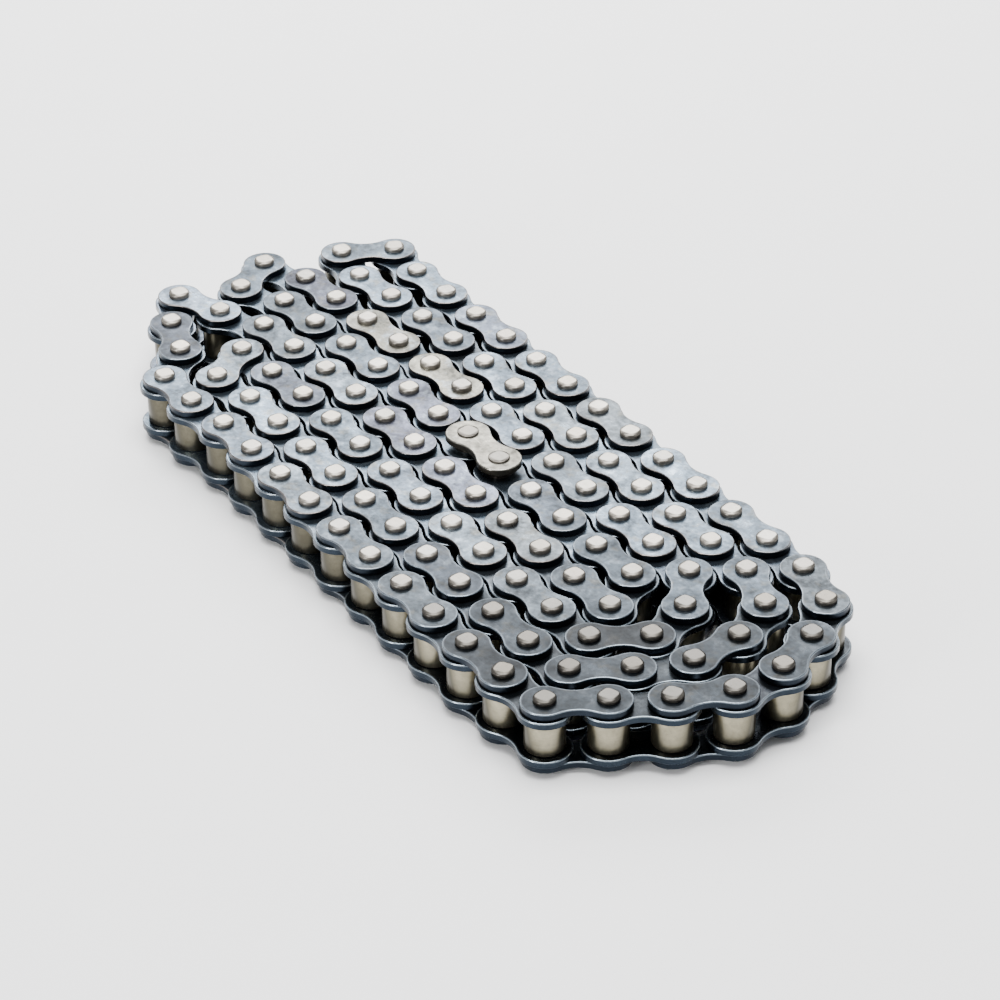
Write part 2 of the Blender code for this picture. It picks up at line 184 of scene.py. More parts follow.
def near_at(places):
    """How far each place lies towards the viewer from the middle of the fold."""
    return places[:, 0] * math.sin(CAMERA_AZIMUTH) - places[:, 1] * math.cos(CAMERA_AZIMUTH)


def painted_shade_at(places):
    """How much painted shade darkens the steel at each place: none far off, with a smooth fall to
    the darkest towards the viewer.
    """
    fall = np.clip((near_at(places) - DARK_FROM) / (DARK_TO - DARK_FROM), 0, 1)
    return 1 - (1 - DARKEST) * fall**2 * (3 - 2 * fall)


TONE_SPREAD, WARMTH_SPREAD = 0.30, 0.16
rng = np.random.default_rng(428)
# A random lightness for each link, times the painted shade towards the viewer.
TONE_AND_SHADE = painted_shade_at(PINS + ALONG / 2) * rng.normal(1, TONE_SPREAD, len(PINS)).clip(0.55, 1.6)
WARMTH = rng.normal(0, WARMTH_SPREAD, len(PINS))
PURPLE_LINKS = [110, 118, 10, 12, 20]
CREAM_LINKS = [108, 106]
WARMTH[PURPLE_LINKS] -= 0.6
TONE_AND_SHADE[PURPLE_LINKS] *= 0.7
WARMTH[CREAM_LINKS] += 0.9
TONE_AND_SHADE[CREAM_LINKS] *= 0.85


# ---------------------------------------------------------------- meshes
# A part is (points, lists of faces, rim), where rim is 1 on a rounded edge and 0 elsewhere. Parts are
# whole-array stacks of rings, and copies of one part make up a piece.

def weld(points, faces, rim):
    """Merges points that coincide and drops points that no face uses."""
    used = np.unique(np.concatenate([f.ravel() for f in faces]))
    place = np.full(len(points), -1)
    place[used] = np.arange(len(used))
    points, rim = points[used], rim[used]
    _, first, same = np.unique(np.round(points, 8), axis=0, return_index=True, return_inverse=True)
    same = same.reshape(-1)
    return points[first], [same[place[f]] for f in faces], rim[first]


def lathe(profile, sides, rim=None, ring=False):
    """Turned part about the origin: (radius, height) from the bottom up, or all round a ring's wall."""
    profile = np.array(profile)
    angles = np.arange(sides) * 2 * np.pi / sides
    circle = np.column_stack([np.cos(angles), np.sin(angles)])
    flat = (profile[:, None, :1] * circle).reshape(-1, 2)
    points = np.column_stack([flat, np.repeat(profile[:, 1], sides)])
    at = np.arange(len(points)).reshape(len(profile), sides)
    low = at if ring else at[:-1]
    high = np.roll(at, -1, axis=0) if ring else at[1:]
    quads = np.stack([low, np.roll(low, -1, axis=1), np.roll(high, -1, axis=1), high], axis=-1)
    quads = quads.reshape(-1, 4)
    caps = [] if ring else [np.stack([at[0, ::-1], at[-1]])]
    rim = np.zeros(len(profile)) if rim is None else np.array(rim, float)
    return points, [quads, *caps], np.repeat(rim, sides)


SIDE_BAND = 0.00012  # ring just under the rounded edge, which keeps the side's shading flat
HAIR = 0.00001  # gap that keeps faces of neighbouring parts from lying in one plane


def plate(radius, waist, hole, low, high=None, top_round=0.00022, foot_round=0.00015, lobe_steps=18):
    """Figure-eight link plate, from its pin at x 0 to the next at one pitch.

    Round each hole it is a stack of rings: the hole's edge, a rim line inside the outline, the
    rounded upper edge, the side, the lower edge and back. The outline is a lobe arc between two
    hollow waist arcs that are tangent to it. The second half is the first one's mirror image.
    """
    high = low + PLATE if high is None else high
    half = PITCH / 2
    hollow = (half**2 + waist**2 - radius**2) / (2 * (radius - waist))
    rise = waist + hollow
    lean = math.atan2(rise, half)
    arc = np.linspace(-math.pi / 2, lean - math.pi, 5)[:-1]
    outward = -np.column_stack([np.cos(arc), np.sin(arc)])
    upper = np.array([half, rise]) - hollow * outward
    lobe = np.linspace(lean, 2 * math.pi - lean, lobe_steps + 1)
    round_it = np.column_stack([np.cos(lobe), np.sin(lobe)])
    flip = np.array([1, -1])
    outline = np.vstack([upper, radius * round_it, upper[::-1] * flip])
    normal = np.vstack([outward, round_it, outward[::-1] * flip])
    band = 0.0003
    inset = outline - normal * (top_round + band)
    middle = np.column_stack([np.full(3, half), np.linspace(-0.6, 0.6, 3) * (waist - top_round - band)])
    columns = len(outline) + len(middle)

    def ring(flat, z):
        return np.column_stack([np.vstack([flat, middle]), np.full(columns, z)])

    around = np.vstack([inset, middle])
    around = around / np.hypot(*around.T)[:, None] * hole
    edge = [(top_round * (1 - s), high - top_round * (1 - c))
            for s, c in ((0, 1), (0.5, 0.866), (0.866, 0.5), (1, 0))]
    edge += [(0, high - top_round - SIDE_BAND), (0, low + foot_round), (foot_round, low)]
    hole_ring = np.column_stack([around, np.full(columns, high)])
    rings = [hole_ring, ring(inset, high)]
    rings += [ring(outline - normal * d, z) for d, z in edge]
    rings += [ring(inset, low), hole_ring * (1, 1, 0) + (0, 0, low)]
    at = np.arange(len(rings) * columns).reshape(len(rings), columns)
    down = np.roll(at, -1, axis=0)
    quads = np.stack([at, down, np.roll(down, -1, axis=1), np.roll(at, -1, axis=1)], axis=-1)
    closed = quads[[0, -2, -1]].reshape(-1, 4)
    open_part = quads[1:-2, : len(outline) - 1].reshape(-1, 4)
    points = np.vstack(rings)
    rim = np.repeat([0, 0, 0.2, 1, 1, 0.3, 0, 0, 0, 0, 0], columns).astype(float)
    faces = np.vstack([closed, open_part])
    mirrored = points * (-1, 1, 1) + (PITCH, 0, 0)
    faces = np.vstack([faces, faces[:, ::-1] + len(points)])
    return weld(np.vstack([points, mirrored]), [faces], np.tile(rim, 2))


def merge(*parts):
    """Several parts in one."""
    shift = np.cumsum([0] + [len(p[0]) for p in parts])
    faces = [f + s for part, s in zip(parts, shift) for f in part[1]]
    return np.vstack([p[0] for p in parts]), faces, np.concatenate([p[2] for p in parts])


def copies(part, places, angles, tones_and_shades, warmths):
    """Copies of a part, each turned by its angle about Z and moved to its place: one array of each."""
    points, faces, rim = part
    count, each = len(places), len(points)
    c, s = np.cos(angles)[:, None], np.sin(angles)[:, None]
    x = c * points[:, 0] - s * points[:, 1] + places[:, :1]
    y = s * points[:, 0] + c * points[:, 1] + places[:, 1:2]
    z = np.broadcast_to(points[:, 2], (count, each))
    shift = np.arange(count)[:, None, None] * each
    return {
        "points": np.stack([x, y, z], axis=-1).reshape(-1, 3),
        "faces": [(f[None] + shift).reshape(-1, f.shape[1]) for f in faces],
        "rim": np.tile(rim, count),
        "tone_and_shade": np.repeat(tones_and_shades, each),
        "warmth": np.repeat(warmths, each),
    }


def piece(name, made, material, body, *nodes):
    """A finished piece at the origin with its place in its mesh, riding on a CAD body."""
    mesh = bpy.data.meshes.new(name)
    mesh.from_pydata(made["points"], [], [f for group in made["faces"] for f in group.tolist()])
    for value in ("rim", "tone_and_shade", "warmth"):
        attribute = mesh.attributes.new(value, "FLOAT", "POINT")
        attribute.data.foreach_set("value", made[value].astype(np.float32))
    mesh.shade_smooth()
    mesh.set_sharp_from_angle(angle=math.radians(38))
    mesh.materials.append(material)
    thing = bpy.data.objects.new(name, mesh)
    bpy.context.scene.collection.objects.link(thing)
    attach(thing, body)
    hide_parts(*nodes)
    return thing


def on_links(part, links):
    """A copy of a part on each link, x along the link from its own pin."""
    links = np.atleast_1d(links)
    return copies(part, PINS[links], HEADING[links], TONE_AND_SHADE[links], WARMTH[links])


def at_pins(part, pins, tones_and_shades, turned=0.0):
    """A copy of a part at each of some pins, all standing nearly the same way round."""
    pins = np.atleast_1d(pins) % len(PINS)
    angles = turned + rng.normal(0, 0.12, len(pins))
    return copies(part, PINS[pins], angles, tones_and_shades[pins], rng.normal(0, 0.3, len(pins)))


def both_pins(links):
    return np.concatenate([links, links + 1])


# ---------------------------------------------------------------- steel
# All pieces are hardened steel, tumbled, blued or nickelled. They share the marks of tumbling and
# handling: soft blotches, fine grain, specks and short scratches.

def group(name, outputs, inputs=()):
    """An empty shader node group with float or colour sockets."""
    tree = bpy.data.node_groups.new(name, "ShaderNodeTree")
    for socket, kind in inputs:
        tree.interface.new_socket(socket, in_out="INPUT", socket_type="NodeSocket" + kind)
    for socket, kind in outputs:
        tree.interface.new_socket(socket, in_out="OUTPUT", socket_type="NodeSocket" + kind)
    return tree


def node(tree, kind, **settings):
    """A shader node. Settings that name an input set or link it, and others set the node itself."""
    made = tree.nodes.new("ShaderNode" + kind if not kind.startswith("Node") else kind)
    for key, value in settings.items():
        if hasattr(made, key) and key not in made.inputs:
            setattr(made, key, value)
    for key, value in settings.items():
        index = int(key[1:]) if key[0] == "i" and key[1:].isdigit() else key
        if isinstance(index, str) and index not in made.inputs:
            continue
        socket = made.inputs[index]
        if isinstance(value, bpy.types.NodeSocket):
            tree.links.new(value, socket)
        else:
            socket.default_value = value
    return made


def maths(tree, operation, a, b=0.0, clamp=False):
    return node(tree, "Math", operation=operation, use_clamp=clamp, i0=a, i1=b).outputs[0]


def mixed(tree, factor, a, b, blend="MIX"):
    """Colour a turned into colour b by factor."""
    made = node(tree, "Mix", data_type="RGBA", blend_type=blend, i0=factor)
    for index, value in ((6, a), (7, b)):
        if isinstance(value, bpy.types.NodeSocket):
            tree.links.new(value, made.inputs[index])
        else:
            made.inputs[index].default_value = (*value, 1)
    return made.outputs[2]


def ranged(tree, value, low, high, to_low=0.0, to_high=1.0):
    """A value between low and high as one between to_low and to_high."""
    return node(tree, "MapRange", i0=value, i1=low, i2=high, i3=to_low, i4=to_high).outputs[0]


def noise(tree, place, scale, detail=2.0, roughness=0.5):
    return node(tree, "TexNoise", Vector=place, Scale=scale, Detail=detail, Roughness=roughness).outputs[0]


def marks_group():
    """Blotches, grain, specks and scratches of tumbled steel, from the object's own coordinates."""
    tree = group("steel_marks", [(n, "Float") for n in ("Blotch", "Grain", "Speck", "Scratch")])
    place = node(tree, "TexCoord").outputs["Object"]
    blotch = maths(tree, "ADD", maths(tree, "MULTIPLY", noise(tree, place, 170, 5, 0.62), 0.6),
                   maths(tree, "MULTIPLY", noise(tree, place, 900, 4, 0.7), 0.4))
    scratches = []
    for turn, length, width, seed in ((0.5, 90, 3400, 11.0), (-0.9, 120, 3000, 5.0), (1.9, 150, 4200, 2.0)):
        turned = node(tree, "Mapping", Vector=place, Location=(seed, seed, 0), Rotation=(0, 0, turn),
                      Scale=(length, width, 400)).outputs[0]
        line = ranged(tree, noise(tree, turned, 1, 1), 0.66, 0.74)
        here = ranged(tree, noise(tree, place, 130 + 10 * seed, 1), 0.5, 0.62)
        scratches.append(maths(tree, "MULTIPLY", line, here))
    scratch = maths(tree, "MAXIMUM", maths(tree, "MAXIMUM", scratches[0], scratches[1]), scratches[2])
    out = node(tree, "NodeGroupOutput")
    for socket, value in (("Blotch", ranged(tree, blotch, 0.36, 0.64)),
                          ("Grain", noise(tree, place, 5200, 2)),
                          ("Speck", ranged(tree, noise(tree, place, 1900, 3, 0.6), 0.66, 0.74)),
                          ("Scratch", scratch)):
        tree.links.new(value, out.inputs[socket])
    return tree


MARKS = marks_group()


def material(name):
    """A new material with its tree, its Principled shader and the sockets that all finishes read."""
    made = bpy.data.materials.new(name)
    made.use_nodes = True
    tree = made.node_tree
    marks = tree.nodes.new("ShaderNodeGroup")
    marks.node_tree = MARKS
    read = {mark: marks.outputs[mark] for mark in ("Blotch", "Grain", "Speck", "Scratch")}
    for value in ("rim", "tone_and_shade", "warmth"):
        read[value] = node(tree, "Attribute", attribute_name=value).outputs["Fac"]
    facing = node(tree, "SeparateXYZ", i0=node(tree, "NewGeometry").outputs["Normal"]).outputs[2]
    read["top"] = ranged(tree, facing, 0.55, 0.95)
    read["position"] = node(tree, "TexCoord").outputs["Object"]
    return made, tree, tree.nodes["Principled BSDF"], read


def finish_plate(name, top, side, cold, warm, rim, far_rim, rough):
    """Plate steel. Its sides get a dark colour as painted shade, links differ in lightness, painted shade
    and tint, and the rounded edge is a little smoother and carries a painted highlight: rim on dark links,
    far_rim on light ones."""
    made, tree, shader, read = material(name)
    tinted = mixed(tree, ranged(tree, read["warmth"], -0.1, -1.0), top, cold)
    tinted = mixed(tree, ranged(tree, read["warmth"], 0.1, 1.0), tinted, warm)
    patch = noise(tree, read["position"], 260, 3, 0.6)
    tinted = mixed(tree, ranged(tree, patch, 0.54, 0.68, 0, 0.5), tinted, warm)
    tinted = mixed(tree, ranged(tree, patch, 0.46, 0.32, 0, 0.6), tinted, [0.55 * c for c in rim])
    marked = ranged(tree, read["Blotch"], 0, 1, 0.40, 1.72)
    marked = maths(tree, "SUBTRACT", marked, maths(tree, "MULTIPLY", read["Speck"], 0.35))
    marked = maths(tree, "ADD", marked, maths(tree, "MULTIPLY", read["Scratch"], 0.5))
    value = maths(tree, "MULTIPLY", read["tone_and_shade"], marked)
    shade = node(tree, "HueSaturation", Color=tinted, Value=value).outputs[0]
    # Painted shade: faces that don't look up get the dark side colour.
    shaded_flanks = mixed(tree, ranged(tree, read["Blotch"], 0.2, 1.0), side, [1.5 * c for c in side])
    colour = mixed(tree, read["top"], shaded_flanks, shade)
    # Painted highlight on the rounded edge, from rim on dark links to far_rim on light ones.
    edge = mixed(tree, ranged(tree, read["tone_and_shade"], 0.35, 0.9), rim, far_rim)
    colour = mixed(tree, maths(tree, "MULTIPLY", read["rim"], 0.75), colour, edge)
    tree.links.new(colour, shader.inputs["Base Color"])
    roughness = ranged(tree, read["Blotch"], 0, 1, rough + 0.10, rough - 0.05)
    roughness = maths(tree, "SUBTRACT", roughness, maths(tree, "MULTIPLY", read["rim"], 0.08))
    tree.links.new(roughness, shader.inputs["Roughness"])
    shader.inputs["Metallic"].default_value = 0.92
    height = maths(tree, "ADD", maths(tree, "MULTIPLY", read["Grain"], 0.5), read["Blotch"])
    height = maths(tree, "SUBTRACT", height, maths(tree, "MULTIPLY", read["Scratch"], 0.8))
    bump = node(tree, "Bump", Strength=0.25, Distance=0.00003, Height=height)
    tree.links.new(bump.outputs[0], shader.inputs["Normal"])
    return made


# ---------------------------------------------------------------- outer plates
# Each outer link has a plate above and one below, punched from strip steel, blued and tumbled until
# their upper faces are a satin blue grey. The pins are pressed through them and peened.

OUTER_PLATE_R, OUTER_WAIST = 0.00505, 0.0034
PIN_R = 0.002225
# The side colour is painted shade, rim and far_rim a painted highlight.
outer_steel = finish_plate("blued_satin_steel", top=(0.078, 0.102, 0.128), side=(0.010, 0.014, 0.020),
                           cold=(0.088, 0.086, 0.122), warm=(0.130, 0.124, 0.100), rim=(0.34, 0.40, 0.46),
                           far_rim=(0.25, 0.222, 0.205), rough=0.30)
upper_outer = plate(OUTER_PLATE_R, OUTER_WAIST, PIN_R, OUTER_LOW)
lower_outer = plate(OUTER_PLATE_R, OUTER_WAIST, PIN_R, below(OUTER_LOW))
for run, links in RUN_LINKS.items():
    made = on_links(merge(upper_outer, lower_outer), links[links % 2 == 0])
    piece(f"{run}_outer_plates", made, outer_steel, "folded_chain", f"{run}_links")
for link, number in OUTER_STRAND.items():
    piece(f"{link}_plate_above", on_links(upper_outer, number), outer_steel, link, f"{link}_upper_plate")
    piece(f"{link}_plate_below", on_links(lower_outer, number), outer_steel, link, f"{link}_lower_plate")


# ---------------------------------------------------------------- inner plates
# Inner plates are taller than the outer ones and darker, and lie inside of them, so that only their edges,
# bright with a painted highlight, and the hollows between the links show. The bushes are pressed into them.

INNER_WAIST = 0.0041
SET_IN = 0.0001  # keeps the round lobes inside of the faceted CAD model's box
BUSH_R = 0.00305
# The side colour is painted shade, rim and far_rim a painted highlight.
inner_steel = finish_plate("dark_blued_steel", top=(0.062, 0.084, 0.108), side=(0.014, 0.020, 0.028),
                           cold=(0.052, 0.052, 0.08), warm=(0.068, 0.072, 0.074), rim=(0.38, 0.45, 0.51),
                           far_rim=(0.32, 0.36, 0.40), rough=0.27)
upper_inner = plate(INNER_PLATE_R - SET_IN, INNER_WAIST, BUSH_R, INNER_LOW)
lower_inner = plate(INNER_PLATE_R - SET_IN, INNER_WAIST, BUSH_R, below(INNER_LOW))
for run, links in RUN_LINKS.items():
    made = on_links(merge(upper_inner, lower_inner), links[links % 2 == 1])
    piece(f"{run}_inner_plates", made, inner_steel, "folded_chain", f"{run}_links")
for link, number in INNER_STRAND.items():
    piece(f"{link}_plate_above", on_links(upper_inner, number), inner_steel, link, f"{link}_upper_plate")
    piece(f"{link}_plate_below", on_links(lower_inner, number), inner_steel, link, f"{link}_lower_plate")


# ---------------------------------------------------------------- pins
# Solid bearing pins, ground and nickel bright. Both ends stand over a millimetre out of the plates,
# peened by a square punch that leaves a flat with rounded corners on a bulged head.

HEAD_R = 0.0024
PLATE_TOP = OUTER_LOW + PLATE
HEAD_SIDES = 24
# Rings of a head from its foot up: (radius, squareness, height, shift off centre, rim), each as a share
HEAD_RINGS = (
    (0.97, 0, 0, 0, 0),
    (1, 0, 0.10, 0, 0.1),
    (1, 0, 0.62, 0, 0.3),
    (0.97, 0, 0.74, 0, 0.4),
    (0.89, 0.4, 0.84, 0.02, 0.5),
    (0.71, 1, 0.985, 0.04, 0.75),
    (0.67, 1, 1, 0.04, 1),
    (0.60, 1, 1, 0.04, 1),
)


def peened(sides, top, foot, radius):
    """The end of a pin from a plate's face up: bulged side, rounded shoulder and the punched flat.

    The flat's edge is a square with round corners: its radius falls off as the sum of the fourth
    powers of cosine and sine. It is set a little off centre, as the punch never hits dead centre.
    """
    angles = np.arange(sides) * 2 * np.pi / sides
    c, s = np.cos(angles), np.sin(angles)
    square = (c**4 + s**4) ** -0.25
    tall = top - foot
    rings = []
    for scale, squareness, height, shift, _ in HEAD_RINGS:
        r = radius * scale * (1 - squareness + squareness * square)
        r = np.minimum(r, radius * (1 - shift))
        rings.append(np.column_stack([r * c + shift * radius, r * s, np.full(sides, foot + tall * height)]))
    points = np.vstack(rings)
    at = np.arange(len(points)).reshape(-1, sides)
    quads = np.stack([at[:-1], np.roll(at[:-1], -1, axis=1), np.roll(at[1:], -1, axis=1), at[1:]], axis=-1)
    rim = np.repeat([ring[4] for ring in HEAD_RINGS], sides).astype(float)
    return points, [quads.reshape(-1, 4), at[-1:]], rim


def mirrored(part, height):
    """The part upside down, mirrored at half a height."""
    points, faces, rim = part
    return points * (1, 1, -1) + (0, 0, height), [f[:, ::-1] for f in faces], rim


def finish_pin():
    """Nickel-bright pin ends, brown grey up to the shoulder and cream on the punched flat. The cream is
    partly bright metal and partly a painted highlight, the shoulder is painted darker as shade, and the foot
    is painted lighter against the shade between the plates.
    """
    made, tree, shader, read = material("nickel_bright_pin")
    value = maths(tree, "MULTIPLY", read["tone_and_shade"], ranged(tree, read["Blotch"], 0, 1, 0.75, 1.25))
    value = maths(tree, "SUBTRACT", value, maths(tree, "MULTIPLY", read["Speck"], 0.2))
    # Cream flat: partly bright metal, partly a painted highlight. Darker shoulder: painted shade. Lighter
    # foot: painted light against the shade between the plates.
    flat = mixed(tree, ranged(tree, read["warmth"], -0.6, 0.6), (0.39, 0.378, 0.35), (0.405, 0.366, 0.307))
    shoulder = mixed(tree, read["Blotch"], (0.16, 0.146, 0.127), (0.26, 0.24, 0.208))
    foot = mixed(tree, read["Blotch"], (0.21, 0.185, 0.16), (0.36, 0.33, 0.29))
    colour = mixed(tree, ranged(tree, read["rim"], 0.0, 0.3), foot, shoulder)
    colour = mixed(tree, ranged(tree, read["rim"], 0.6, 1.0), colour, flat)
    colour = node(tree, "HueSaturation", Color=colour, Value=value).outputs[0]
    tree.links.new(colour, shader.inputs["Base Color"])
    tree.links.new(ranged(tree, read["Blotch"], 0, 1, 0.27, 0.38), shader.inputs["Roughness"])
    tree.links.new(ranged(tree, read["rim"], 0.3, 0.9, 0.75, 0.95), shader.inputs["Metallic"])
    bump = node(tree, "Bump", Strength=0.06, Distance=0.00002, Height=read["Blotch"])
    tree.links.new(bump.outputs[0], shader.inputs["Normal"])
    return made


pin_steel = finish_pin()
head = peened(HEAD_SIDES, PIN_LENGTH, PLATE_TOP, HEAD_R)
SHANK_SIDES = 16
shank = lathe([(PIN_R - HAIR, PIN_LENGTH - PLATE_TOP), (PIN_R - HAIR, PLATE_TOP)], SHANK_SIDES)
rivet_pin = merge(head, mirrored(head, PIN_LENGTH), shank)
PUNCH_TURN = math.radians(100)
# Pins get less of the painted shade than plates towards the viewer, and the connecting link's are the
# dullest.
PIN_FALL, PIN_SPREAD, DULL = 0.6, 0.08, 0.55
HEAD_TONE_AND_SHADE = painted_shade_at(PINS) ** PIN_FALL * rng.normal(1, PIN_SPREAD, len(PINS))
HEAD_TONE_AND_SHADE[[CONNECTING, CONNECTING + 1]] *= DULL
for run, links in RUN_LINKS.items():
    made = at_pins(rivet_pin, both_pins(links[links % 2 == 0]), HEAD_TONE_AND_SHADE, PUNCH_TURN)
    piece(f"{run}_pins", made, pin_steel, "folded_chain", f"{run}_links")
for link, number in OUTER_STRAND.items():
    for letter, at in (("a", number), ("b", number + 1)):
        made = at_pins(rivet_pin, at, HEAD_TONE_AND_SHADE, PUNCH_TURN)
        piece(f"{link}_rivet_{letter}", made, pin_steel, link, f"{link}_pin_{letter}")


# ---------------------------------------------------------------- bushes
# Rolled or turned sleeves that the pins turn in, pressed flush into the inner plates. They show only
# where the strand is parted from the corner link.

BORE_R = 0.00238
BUSH_ENDS = (PIN_LENGTH - INNER_LOW - PLATE, INNER_LOW + PLATE)
bush_wall = [(BUSH_R - HAIR, BUSH_ENDS[0]), (BUSH_R - HAIR, BUSH_ENDS[1]),
             (BORE_R, BUSH_ENDS[1]), (BORE_R, BUSH_ENDS[0])]


def finish_turned(name, colour, worn_and_shade, rough):
    """Ground or turned steel with soft blotches, and fine lines round it. Its chamfered ends carry a painted
    highlight, and painted shade darkens it where it turns away from the viewer.
    """
    made, tree, shader, read = material(name)
    flat = node(tree, "Mapping", Vector=read["position"], Scale=(25, 25, 2600)).outputs[0]
    lines = noise(tree, flat, 1, 3, 0.6)
    base = mixed(tree, ranged(tree, read["Blotch"], 0.2, 0.9), colour, worn_and_shade)
    value = maths(tree, "MULTIPLY", read["tone_and_shade"], ranged(tree, lines, 0.3, 0.7, 0.96, 1.04))
    base = node(tree, "HueSaturation", Color=base, Value=value).outputs[0]
    # Painted highlight on the chamfered ends.
    base = mixed(tree, maths(tree, "MULTIPLY", read["rim"], 0.5), base, [min(1, 1.4 * c) for c in colour])
    # Painted shade where the surface turns away from the viewer.
    edge_shade = node(tree, "LayerWeight", Blend=0.35).outputs["Facing"]
    base = mixed(tree, ranged(tree, edge_shade, 0.13, 0.36, 0, 0.88), base, [0.28 * c for c in worn_and_shade])
    tree.links.new(base, shader.inputs["Base Color"])
    tree.links.new(ranged(tree, lines, 0.3, 0.7, rough - 0.03, rough + 0.03), shader.inputs["Roughness"])
    shader.inputs["Metallic"].default_value = 0.9
    bump = node(tree, "Bump", Strength=0.06, Distance=0.00001, Height=lines)
    tree.links.new(bump.outputs[0], shader.inputs["Normal"])
    return made


bush_steel = finish_turned("bush_steel", (0.40, 0.40, 0.39), (0.30, 0.29, 0.27), 0.34)
BUSH_SIDES = 20
bush = lathe(bush_wall, BUSH_SIDES, ring=True)
for run, links in RUN_LINKS.items():
    made = at_pins(bush, both_pins(links[links % 2 == 1]), HEAD_TONE_AND_SHADE)
    piece(f"{run}_bushes", made, bush_steel, "folded_chain", f"{run}_links")
for link, number in INNER_STRAND.items():
    for letter, at in (("a", number), ("b", number + 1)):
        made = at_pins(bush, at, HEAD_TONE_AND_SHADE)
        piece(f"{link}_sleeve_{letter}", made, bush_steel, link, f"{link}_bush_{letter}")


# ---------------------------------------------------------------- rollers
# Seamless rollers, turned and hardened to a straw colour, loose on the bushes. Their ends are
# chamfered so that they don't rub on the inner plates.

ROLLER_R, ROLLER_BORE_R = 0.004255, 0.00319
ROLLER_END = 0.000125
CHAMFER = 0.0003
low, high = PIN_LENGTH - INNER_LOW + ROLLER_END, INNER_LOW - ROLLER_END
bulge = 0.3 * CHAMFER
roller_wall = [(ROLLER_R - CHAMFER, low), (ROLLER_R - bulge, low + bulge), (ROLLER_R, low + CHAMFER),
               (ROLLER_R, high - CHAMFER), (ROLLER_R - bulge, high - bulge),
               (ROLLER_R - CHAMFER, high), (ROLLER_BORE_R, high), (ROLLER_BORE_R, low)]
ROLLER_SIDES = 28
roller = lathe(roller_wall, ROLLER_SIDES, rim=(1, 1, 0, 0, 1, 1, 0, 0), ring=True)
roller_steel = finish_turned("straw_roller_steel", (0.235, 0.214, 0.154), (0.172, 0.156, 0.110), 0.32)
# Rollers get lighter towards the viewer, where more light falls in between the plates.
LIGHT_FROM, LIGHTER_PER_METRE = 0.03, 33
ROLLER_TONE = (0.45 + LIGHTER_PER_METRE * (near_at(PINS) - LIGHT_FROM)).clip(0.42, 1.3)
ROLLER_TONE *= rng.normal(1, PIN_SPREAD, len(PINS))
for run, links in RUN_LINKS.items():
    made = at_pins(roller, both_pins(links[links % 2 == 1]), ROLLER_TONE)
    piece(f"{run}_rollers", made, roller_steel, "folded_chain", f"{run}_links")
for link, number in INNER_STRAND.items():
    for letter, at in (("a", number), ("b", number + 1)):
        made = at_pins(roller, at, ROLLER_TONE)
        own_body = f"{link}_roller_{letter}"
        piece(f"{link}_barrel_{letter}", made, roller_steel, own_body, own_body)


# ---------------------------------------------------------------- corner link
# The outer link at the back left corner. The loop is opened at its far end, where each plate holds
# only a short stud of the pin, so that the strand can leave.

corner_angle = np.array([HEADING[CORNER] + math.pi])
corner_at = PINS[[CORNER + 1]]
stud = head[0] + (PITCH, 0, 0), head[1], head[2]
stud_end = lathe([(PIN_R - HAIR, OUTER_LOW + HAIR), (PIN_R - HAIR, PLATE_TOP)], SHANK_SIDES)
stud_end = stud_end[0] + (PITCH, 0, 0), stud_end[1], stud_end[2]
corner_stud = merge(stud, stud_end)
for side, node_name, shape, pressed in (
        ("above", "corner_link_upper_plate", upper_outer, corner_stud),
        ("below", "corner_link_lower_plate", lower_outer, mirrored(corner_stud, PIN_LENGTH))):
    made = copies(shape, corner_at, corner_angle, TONE_AND_SHADE[[CORNER]], WARMTH[[CORNER]])
    piece(f"corner_link_plate_{side}", made, outer_steel, "corner_link", node_name)
    made = copies(pressed, corner_at, corner_angle, TONE_AND_SHADE[[CORNER]], WARMTH[[CORNER]])
    piece(f"corner_link_stud_{side}", made, pin_steel, "corner_link", node_name)
made = at_pins(rivet_pin, CORNER + 1, HEAD_TONE_AND_SHADE, PUNCH_TURN)
piece("corner_link_rivet", made, pin_steel, "corner_link", "corner_link_pin")


# ---------------------------------------------------------------- connecting link
# The link that closes the loop. Its nickelled plate stands higher than the others on two longer pins.
# Below, a loose plate slides over the pins and a spring clip snaps into their grooves.

LINK_PIN_TOP = 0.0179
LINK_HEAD = 0.0005
link_plate_top = LINK_PIN_TOP - LINK_HEAD
# The side colour is painted shade, rim and far_rim a painted highlight.
link_steel = finish_plate("nickelled_steel", top=(0.165, 0.158, 0.134), side=(0.075, 0.068, 0.054),
                          cold=(0.16, 0.16, 0.147), warm=(0.172, 0.163, 0.134), rim=(0.36, 0.35, 0.315),
                          far_rim=(0.36, 0.35, 0.315), rough=0.30)
high_plate = plate(OUTER_PLATE_R, OUTER_WAIST, PIN_R, link_plate_top - PLATE, top_round=0.0003)
piece("connecting_link_top_plate", on_links(high_plate, CONNECTING), link_steel, "folded_chain",
      "connecting_link_plate")
loose_plate = plate(OUTER_PLATE_R, OUTER_WAIST, PIN_R, below(OUTER_LOW))
piece("connecting_link_loose_plate", on_links(loose_plate, CONNECTING), link_steel, "folded_chain",
      "connecting_link_clip_plate")

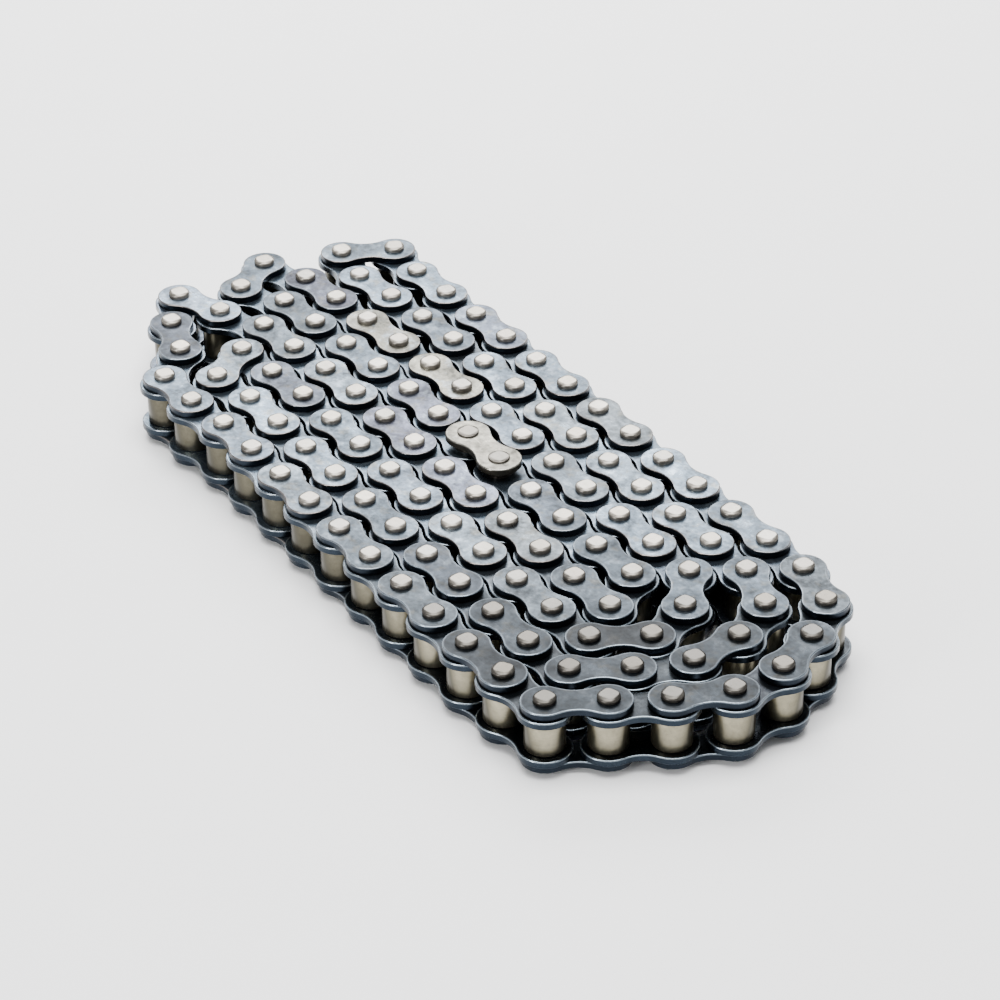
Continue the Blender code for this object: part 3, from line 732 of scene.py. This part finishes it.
GROOVE_R = 0.0017
CLIP_LOW, CLIP_HIGH = 0.0003, 0.00105
END_CHAMFER = 0.0002
GROOVE_STEP = 0.00002
link_pin = merge(
    peened(HEAD_SIDES, LINK_PIN_TOP, link_plate_top, HEAD_R),
    lathe([(PIN_R - END_CHAMFER, 0), (PIN_R, END_CHAMFER), (PIN_R, CLIP_LOW),
           (GROOVE_R, CLIP_LOW + GROOVE_STEP), (GROOVE_R, CLIP_HIGH - GROOVE_STEP),
           (PIN_R, CLIP_HIGH), (PIN_R, link_plate_top)], BUSH_SIDES))
for letter, at in (("a", CONNECTING), ("b", CONNECTING + 1)):
    made = at_pins(link_pin, at, HEAD_TONE_AND_SHADE, PUNCH_TURN)
    piece(f"connecting_link_post_{letter}", made, pin_steel, "folded_chain", f"connecting_link_pin_{letter}")


def finish_clip():
    """Polished spring steel."""
    made, tree, shader, read = material("spring_steel")
    colour = mixed(tree, read["Blotch"], (0.46, 0.47, 0.48), (0.58, 0.58, 0.57))
    tree.links.new(colour, shader.inputs["Base Color"])
    tree.links.new(ranged(tree, read["Grain"], 0, 1, 0.18, 0.30), shader.inputs["Roughness"])
    shader.inputs["Metallic"].default_value = 0.95
    return made


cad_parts["connecting_link_spring_clip"].data.materials.clear()
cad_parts["connecting_link_spring_clip"].data.materials.append(finish_clip())


# ---------------------------------------------------------------- floor, light and camera
# The chain lies on a pale sheet under a large softbox, with a low one at the back that the plates'
# faces mirror and a narrow one at the front left for the rollers.

def floor():
    """A plain pale sheet of card."""
    made = bpy.data.materials.new("pale_card")
    made.use_nodes = True
    tree, shader = made.node_tree, made.node_tree.nodes["Principled BSDF"]
    place = node(tree, "TexCoord").outputs["Object"]
    colour = mixed(tree, noise(tree, place, 30, 3), (0.90, 0.90, 0.90), (0.93, 0.93, 0.93))
    tree.links.new(colour, shader.inputs["Base Color"])
    shader.inputs["Roughness"].default_value = 0.8
    mesh = bpy.data.meshes.new("floor")
    reach = 4.0
    corners = [(-reach, -reach, 0), (reach, -reach, 0), (reach, reach, 0), (-reach, reach, 0)]
    mesh.from_pydata(corners, [], [(0, 1, 2, 3)])
    mesh.materials.append(made)
    thing = bpy.data.objects.new("floor", mesh)
    thing.location.z = -0.0002
    bpy.context.scene.collection.objects.link(thing)


def aimed(azimuth, elevation, roll=0.0):
    """Turn of a camera or lamp that looks at the centre from an azimuth and an elevation, in radians."""
    return (Matrix.Rotation(azimuth, 4, "Z")
            @ Matrix.Rotation(math.pi / 2 - elevation, 4, "X")
            @ Matrix.Rotation(roll, 4, "Z"))


def softbox(name, azimuth, elevation, distance, size, watts, centre=(0, 0, 0)):
    """A rectangular lamp that looks at a point. Azimuth is in degrees round from the camera."""
    lamp = bpy.data.lights.new(name, "AREA")
    lamp.shape = "RECTANGLE"
    lamp.size, lamp.size_y = size
    lamp.energy = watts
    thing = bpy.data.objects.new(name, lamp)
    thing.matrix_world = (Matrix.Translation(centre)
                          @ aimed(CAMERA_AZIMUTH + math.radians(azimuth), math.radians(elevation))
                          @ Matrix.Translation((0, 0, distance)))
    bpy.context.scene.collection.objects.link(thing)


floor()
softbox("back_softbox", 180, 40, 0.6, (0.6, 0.28), 5, centre=(-0.05, 0.03, 0))
softbox("front_softbox", -45, 14, 0.9, (0.22, 0.5), 7)
softbox("top_softbox", 0, 88, 1.1, (0.9, 0.9), 30)
world = bpy.data.worlds.new("studio")
world.use_nodes = True
world.node_tree.nodes["Background"].inputs["Color"].default_value = (0.95, 0.97, 1, 1)
world.node_tree.nodes["Background"].inputs["Strength"].default_value = 0.5
bpy.context.scene.world = world

camera = bpy.data.cameras.new("camera")
camera.lens = 128.9
camera.sensor_width = 36
camera.clip_start, camera.clip_end = 0.05, 20
viewer = bpy.data.objects.new("camera", camera)
looked_at, away = (0.00796, 0.00459, 0.008), 0.78304
elevation, roll = math.radians(32.84), math.radians(-0.70)
viewer.matrix_world = (Matrix.Translation(looked_at)
                       @ aimed(CAMERA_AZIMUTH, elevation, roll)
                       @ Matrix.Translation((0, 0, away)))
bpy.context.scene.collection.objects.link(viewer)
bpy.context.scene.camera = viewer
